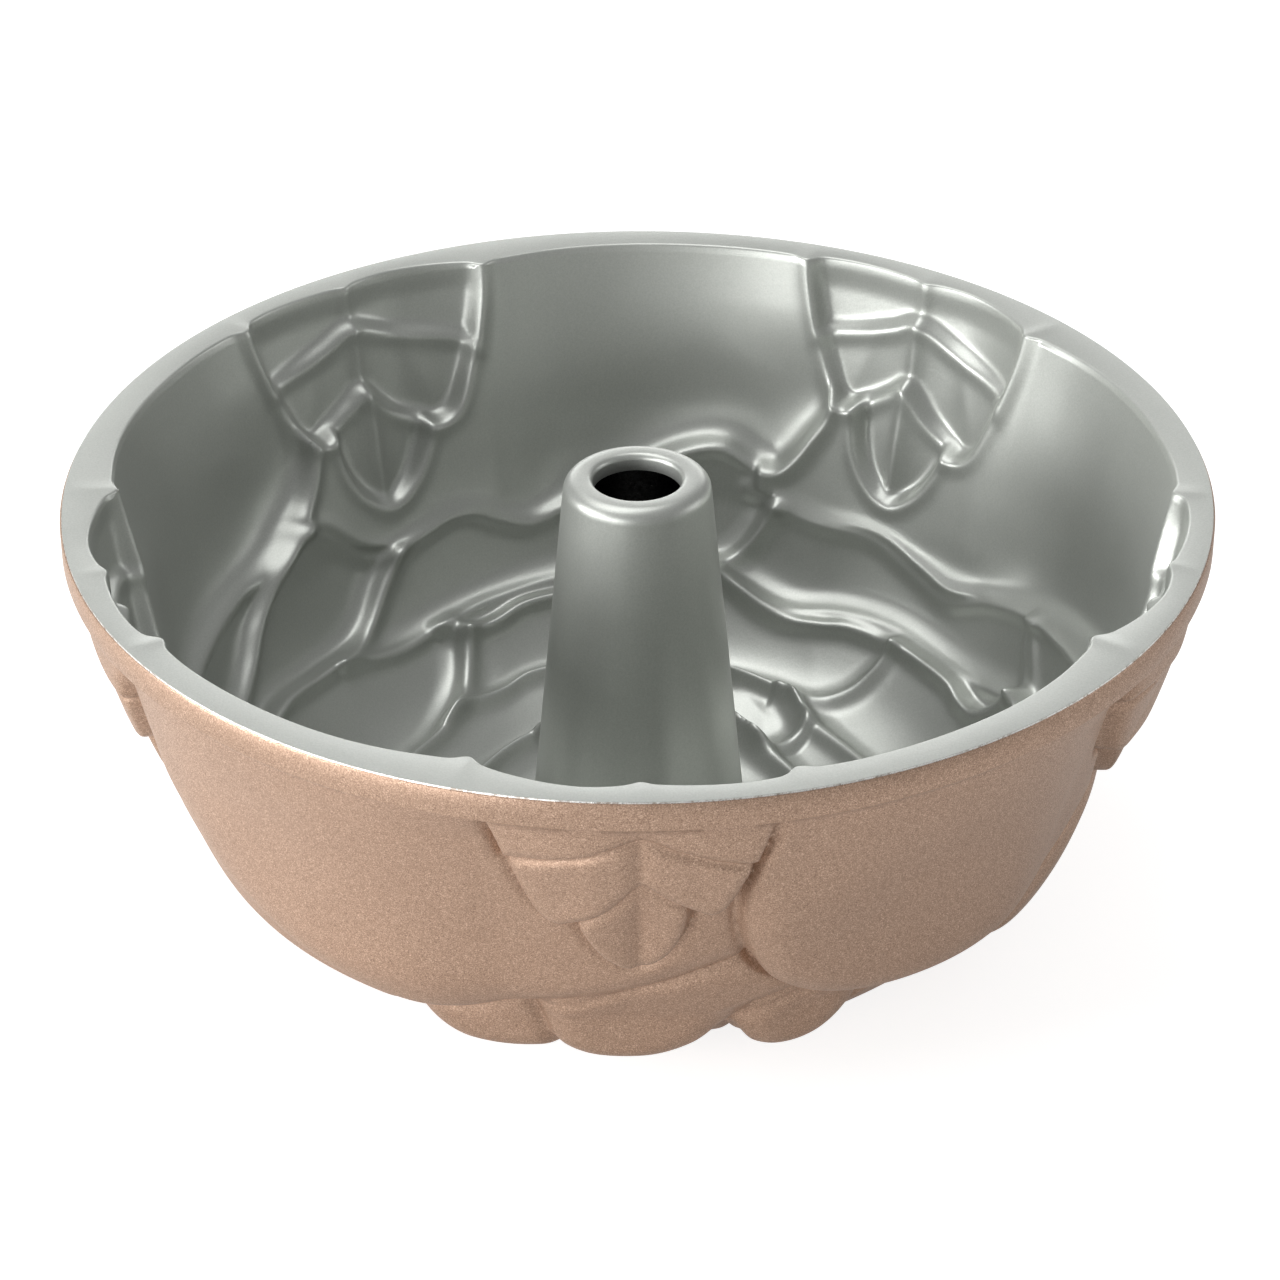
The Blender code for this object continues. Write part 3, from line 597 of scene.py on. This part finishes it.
def ring_solid(name, angles, front, back):
    """A closed ring between the rows of its front and of its back, both listed from the rim."""
    rows = front + back[::-1]
    turn = np.radians(angles)
    count = len(angles)
    points = np.concatenate(
        [np.stack([r * np.cos(turn), r * np.sin(turn), z + 0 * turn], axis=1) for r, z in rows]
    )
    i, j = np.meshgrid(np.arange(len(rows)), np.arange(count), indexing="ij")
    beside = (j + 1) % count
    below = (i + 1) % len(rows)
    faces = np.stack(
        [i * count + j, i * count + beside, below * count + beside, below * count + j], axis=-1
    ).reshape(-1, 4)
    mesh = bpy.data.meshes.new(name)
    mesh.vertices.add(len(points))
    mesh.vertices.foreach_set("co", (points * MM).ravel())
    mesh.loops.add(faces.size)
    mesh.loops.foreach_set("vertex_index", faces.ravel().astype(np.int32))
    mesh.polygons.add(len(faces))
    mesh.polygons.foreach_set("loop_start", np.arange(0, faces.size, 4, dtype=np.int32))
    mesh.update(calc_edges=True)
    mesh.validate()
    mesh.shade_smooth()
    mesh.set_sharp_from_angle(angle=math.radians(50))
    made = bpy.data.objects.new(name, mesh)
    bpy.context.scene.collection.objects.link(made)
    return made


def shader_of(name, colour, metallic, roughness):
    """A new material with plain values, and its shader for the finishes to build on."""
    material = bpy.data.materials.new(name)
    material.use_nodes = True
    shader = material.node_tree.nodes["Principled BSDF"]
    shader.inputs["Base Color"].default_value = (*colour, 1.0)
    shader.inputs["Metallic"].default_value = metallic
    shader.inputs["Roughness"].default_value = roughness
    return material, shader


class Nodes:
    """Short ways to add and join nodes in one material."""

    def __init__(self, material):
        self.tree = material.node_tree
        self.place = self.tree.nodes.new("ShaderNodeTexCoord").outputs["Object"]

    def join(self, source, target):
        self.tree.links.new(source, target)

    def noise(self, scale, detail=2.0, roughness=0.5):
        node = self.tree.nodes.new("ShaderNodeTexNoise")
        node.inputs["Scale"].default_value = scale
        node.inputs["Detail"].default_value = detail
        node.inputs["Roughness"].default_value = roughness
        self.join(self.place, node.inputs["Vector"])
        return node.outputs["Fac"]

    def reach(self):
        """Distance from the pan's axis, in metres."""
        level = self.tree.nodes.new("ShaderNodeVectorMath")
        level.operation = "MULTIPLY"
        level.inputs[1].default_value = (1.0, 1.0, 0.0)
        self.join(self.place, level.inputs[0])
        length = self.tree.nodes.new("ShaderNodeVectorMath")
        length.operation = "LENGTH"
        self.join(level.outputs["Vector"], length.inputs[0])
        return length.outputs["Value"]

    def ramp(self, value, *stops):
        """Map a value to colours or greys by (position, colour) stops."""
        node = self.tree.nodes.new("ShaderNodeValToRGB")
        bar = node.color_ramp.elements
        while len(bar) < len(stops):
            bar.new(0.5)
        for element, (position, colour) in zip(bar, stops):
            element.position = position
            if isinstance(colour, (int, float)):
                colour = (colour, colour, colour)
            element.color = (*colour, 1.0)
        self.join(value, node.inputs["Fac"])
        return node.outputs["Color"]

    def mix(self, factor, first, second, kind="MIX"):
        node = self.tree.nodes.new("ShaderNodeMix")
        node.data_type = "RGBA"
        node.blend_type = kind
        for socket, value in zip((node.inputs[0], node.inputs[6], node.inputs[7]),
                                 (factor, first, second)):
            if isinstance(value, (int, float)):
                socket.default_value = value
            elif isinstance(value, tuple):
                socket.default_value = (*value, 1.0)
            else:
                self.join(value, socket)
        return node.outputs[2]

    def bump(self, height, strength, distance, normal=None):
        node = self.tree.nodes.new("ShaderNodeBump")
        node.inputs["Strength"].default_value = strength
        node.inputs["Distance"].default_value = distance
        self.join(height, node.inputs["Height"])
        if normal is not None:
            self.join(normal, node.inputs["Normal"])
        return node.outputs["Normal"]


def release_material():
    """Satin grey coating: a fine powdery fleck, faint cloudiness and a soft orange peel."""
    material, shader = shader_of("release_coating", (0.40, 0.415, 0.40), 0.70, 0.40)
    nodes = Nodes(material)
    fleck = nodes.noise(2600.0, 2.0, 0.7)
    cloud = nodes.noise(38.0, 3.0, 0.5)
    base = nodes.ramp(fleck, (0.30, (0.40, 0.415, 0.39)), (0.72, (0.52, 0.535, 0.505)))
    colour = nodes.mix(0.35, base, nodes.ramp(cloud, (0.3, (0.42, 0.435, 0.41)),
                                              (0.7, (0.48, 0.495, 0.465))))
    nodes.join(colour, shader.inputs["Base Color"])
    rough = nodes.ramp(cloud, (0.25, 0.38), (0.75, 0.43))
    nodes.join(rough, shader.inputs["Roughness"])
    normal = nodes.bump(nodes.noise(900.0, 2.0, 0.6), 0.20, 0.00012)
    normal = nodes.bump(fleck, 0.15, 0.00006, normal)
    nodes.join(normal, shader.inputs["Normal"])
    return material


def bronze_material():
    """Bronze metallic paint: dense light and dark grains over a satin base."""
    material, shader = shader_of("exterior_finish", (0.50, 0.34, 0.25), 0.55, 0.42)
    nodes = Nodes(material)
    grain = nodes.noise(3400.0, 2.0, 0.8)
    blotch = nodes.noise(900.0, 2.0, 0.6)
    cloud = nodes.noise(22.0, 2.0, 0.5)
    base = nodes.ramp(
        grain,
        (0.34, (0.26, 0.164, 0.114)),
        (0.47, (0.41, 0.271, 0.191)),
        (0.56, (0.49, 0.332, 0.239)),
        (0.69, (0.74, 0.536, 0.408)),
    )
    tint = nodes.ramp(blotch, (0.3, (0.88, 0.87, 0.86)), (0.7, (1.0, 1.0, 1.0)))
    colour = nodes.mix(1.0, base, tint, "MULTIPLY")
    shade = nodes.ramp(cloud, (0.3, (0.94, 0.94, 0.94)), (0.7, (1.0, 1.0, 1.0)))
    nodes.join(nodes.mix(1.0, colour, shade, "MULTIPLY"), shader.inputs["Base Color"])
    nodes.join(nodes.ramp(grain, (0.3, 0.50), (0.75, 0.34)), shader.inputs["Roughness"])
    normal = nodes.bump(grain, 0.25, 0.00006)
    nodes.join(normal, shader.inputs["Normal"])
    return material


def bare_metal_material():
    """Bare aluminium where the rim was faced off: bright, nicked and finely scratched; the hollow
    under the tube is painted near black as shade.
    """
    material, shader = shader_of("cast_aluminium", (0.86, 0.85, 0.82), 1.0, 0.30)
    nodes = Nodes(material)
    nick = nodes.noise(900.0, 3.0, 0.7)
    faced = nodes.ramp(nick, (0.36, (0.42, 0.36, 0.31)), (0.52, (0.92, 0.91, 0.88)))
    # Painted shade: within the foot ring, the hollow up the inside of the tube to the bore is
    # painted near black where only shade falls.
    hollow_painted_shade = nodes.ramp(nodes.reach(), (0.0218, 0.03), (0.0220, 1.0))
    nodes.join(nodes.mix(1.0, faced, hollow_painted_shade, "MULTIPLY"), shader.inputs["Base Color"])
    nodes.join(nodes.ramp(nick, (0.3, 0.45), (0.7, 0.22)), shader.inputs["Roughness"])
    nodes.join(nodes.bump(nick, 0.5, 0.0002), shader.inputs["Normal"])
    return material


def dress(piece, material, node):
    """Give a fine piece its material, and the place of the model's node."""
    piece.data.materials.append(material)
    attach(piece, "root")
    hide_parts(node)


def make_pan():
    """The three fine pieces, each a ring between its front and its back."""
    bowl = Bowl()
    inside = Relief(bowl, **INSIDE_EDGES)
    outside = Relief(bowl, **OUTSIDE_EDGES)
    angles = inside.angles
    back = COATING + COATING_GAP
    edge = RIM_RADIUS - RIM_CORNER
    fine = ring_solid(
        "release_coating_fine", angles,
        inner_rows(bowl, inside, angles, 0.0, edge),
        inner_rows(bowl, inside, angles, COATING, edge, hidden=1),
    )
    dress(fine, release_material(), "release_coating")
    fine = ring_solid(
        "pan_casting_fine", angles,
        inner_rows(bowl, inside, angles, back, edge, hidden=2),
        outer_rows(bowl, outside, inside, angles, back, RIM_CORNER, hidden=2) + hollow_rows(angles),
    )
    dress(fine, bare_metal_material(), "pan_casting")
    fine = ring_solid(
        "exterior_finish_fine", angles,
        outer_rows(bowl, outside, inside, angles, COATING, RIM_CORNER, hidden=1),
        outer_rows(bowl, outside, inside, angles, 0.0, RIM_CORNER),
    )
    dress(fine, bronze_material(), "exterior_finish")


def make_floor():
    """A plain pale floor, large enough to fill every view.

    The sheet that the camera sees glows a little, as a lit backdrop does; the sheet under it
    gives the light that a matt floor would, so the pan's underside keeps its shading.
    """
    reach = FLOOR_REACH
    for name, drop, grey, glow in (("backdrop", 0.0002, 0.50, 0.79),
                                   ("studio_floor", 0.0004, 0.85, 0.08)):
        mesh = bpy.data.meshes.new(name)
        mesh.from_pydata(
            [(-reach, -reach, 0), (reach, -reach, 0), (reach, reach, 0), (-reach, reach, 0)],
            [], [(0, 1, 2, 3)],
        )
        floor = bpy.data.objects.new(name, mesh)
        bpy.context.scene.collection.objects.link(floor)
        floor.location.z = -drop
        seen = name == "backdrop"
        floor.visible_camera = seen
        floor.visible_diffuse = not seen
        floor.visible_glossy = not seen
        floor.visible_shadow = not seen
        material, shader = shader_of(name, (grey, grey, grey), 0.0, 0.8)
        shader.inputs["Emission Color"].default_value = (1.0, 1.0, 1.0, 1.0)
        shader.inputs["Emission Strength"].default_value = glow
        shader.inputs["Specular IOR Level"].default_value = 0.1
        mesh.materials.append(material)


def area_light(name, place, width, height, power):
    """A white rectangular light that faces the pan's middle."""
    data = bpy.data.lights.new(name, "AREA")
    data.shape = "RECTANGLE"
    data.size = width
    data.size_y = height
    data.energy = power
    light = bpy.data.objects.new(name, data)
    bpy.context.scene.collection.objects.link(light)
    light.location = place
    aim = Vector(LIT_POINT) - Vector(place)
    light.rotation_euler = aim.to_track_quat("-Z", "Y").to_euler()


def make_lights():
    """Soft studio light: a pale surround, one light overhead and a window on each side."""
    world = bpy.data.worlds.new("studio")
    bpy.context.scene.world = world
    world.use_nodes = True
    sky = world.node_tree.nodes["Background"]
    sky.inputs["Color"].default_value = (1.0, 1.0, 1.0, 1.0)
    sky.inputs["Strength"].default_value = 0.33
    for name, place, width, height, power in LIGHTS:
        area_light(name, place, width, height, power)


def make_camera():
    """The view from a little above, with the front leaf facing the camera."""
    data = bpy.data.cameras.new("camera")
    data.sensor_width = 36.0
    data.lens = CAMERA_LENS
    camera = bpy.data.objects.new("camera", data)
    bpy.context.scene.collection.objects.link(camera)
    distance = CAMERA_DISTANCE * RIM_RADIUS * MM
    rise = math.radians(CAMERA_RISE)
    camera.location = (0.0, -distance * math.cos(rise),
                       PAN_HEIGHT * MM + distance * math.sin(rise))
    pitch = math.radians(CAMERA_PITCH)
    yaw = math.radians(CAMERA_YAW)
    roll = math.radians(CAMERA_ROLL)
    ahead = Vector((math.sin(yaw) * math.cos(pitch), math.cos(yaw) * math.cos(pitch),
                    -math.sin(pitch)))
    right = ahead.cross(Vector((0.0, 0.0, 1.0))).normalized()
    up = right.cross(ahead)
    level_right = right * math.cos(roll) + up * math.sin(roll)
    level_up = up * math.cos(roll) - right * math.sin(roll)
    turn = Matrix((level_right, level_up, -ahead)).transposed()
    camera.rotation_euler = turn.to_euler()
    bpy.context.scene.camera = camera


make_pan()
make_floor()
make_lights()
make_camera()
bpy.context.scene.view_settings.view_transform = "Standard"
